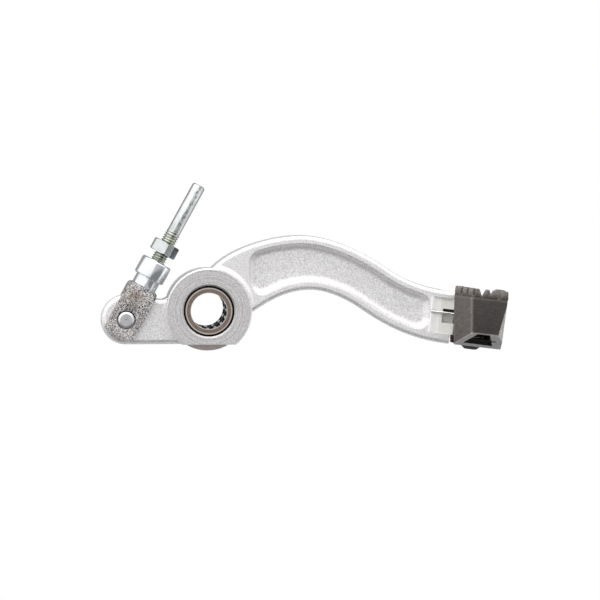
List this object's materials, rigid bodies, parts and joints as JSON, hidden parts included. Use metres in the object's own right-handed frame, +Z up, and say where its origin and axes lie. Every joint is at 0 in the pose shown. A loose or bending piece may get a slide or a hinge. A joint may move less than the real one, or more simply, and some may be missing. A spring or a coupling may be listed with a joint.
{
  "type": "rear brake pedal",
  "caption": "Forged rear brake pedal with a needle-bearing pivot hub, a fork head and push rod on its tail lug, and a sprung folding toothed toe step.",
  "frame": {"origin": "centre of the pivot bore, midway along the hub", "axes": "+X forward to the toe step, +Y inboard along the pivot axis and away from the pedal's outer face, +Z up"},
  "size_m": [0.1584, 0.0464, 0.0662],
  "materials": {
    "forged_alloy": "blasted as-forged skin, turned hub face",
    "bearing_cup": "brown hardened steel",
    "bearing_cage": "dark pressed steel",
    "roller_steel": "polished",
    "fork_zinc": "zinc plated, blotched",
    "pin_steel": "bright zinc plated",
    "rod_zinc": "bright zinc plated",
    "nut_zinc": "bright zinc plated",
    "step_casting": "matt brown-grey as-cast steel",
    "black_bolt": "blackened",
    "bush_steel": "ground",
    "spring_steel": "drawn stainless wire"
  },
  "bodies": {
    "lever": {"pedal_lever": "forged_alloy", "outer_bearing_cup": "bearing_cup", "inner_bearing_cup": "bearing_cup", "step_spring": "spring_steel"},
    "fork": {"fork_head": "fork_zinc", "clevis_pin": "pin_steel"},
    "rod": {"push_rod": "rod_zinc"},
    "nut": {"lock_nut": "nut_zinc"},
    "step": {"step": "step_casting", "step_bolt": "black_bolt", "step_bush": "bush_steel"},
    "outer_needles": {"outer_bearing_cage": "bearing_cage", "outer_bearing_needles": "roller_steel"},
    "inner_needles": {"inner_bearing_cage": "bearing_cage", "inner_bearing_needles": "roller_steel"}
  },
  "joints": [
    {"name": "fork_swing", "type": "hinge", "parent": "lever", "child": "fork", "pos_m": [-0.0324, -0.0074, -0.0034], "axis": [0, -1, 0], "range_deg": [0, 230]},
    {"name": "rod_reach", "type": "slide", "parent": "fork", "child": "rod", "axis": [0.4833, 0, 0.8755], "range_m": [-0.003, 0.003]},
    {"name": "nut_travel", "type": "slide", "parent": "fork", "child": "nut", "axis": [0.4833, 0, 0.8755], "range_m": [-0.0035, 0.0017]},
    {"name": "step_fold", "type": "hinge", "parent": "lever", "child": "step", "pos_m": [0.1048, -0.0074, -0.0036], "axis": [-0.1167, 0, -0.9932], "range_deg": [0, 40], "stiffness_Nm_per_rad": 0.15, "springref_deg": -28.65, "deforming": ["step_spring"]},
    {"name": "outer_needles_spin", "type": "hinge", "parent": "lever", "child": "outer_needles", "pos_m": [0, -0.0082, 0], "axis": [0, 1, 0], "continuous": true},
    {"name": "inner_needles_spin", "type": "hinge", "parent": "lever", "child": "inner_needles", "pos_m": [0, 0.0082, 0], "axis": [0, 1, 0], "continuous": true}
  ]
}
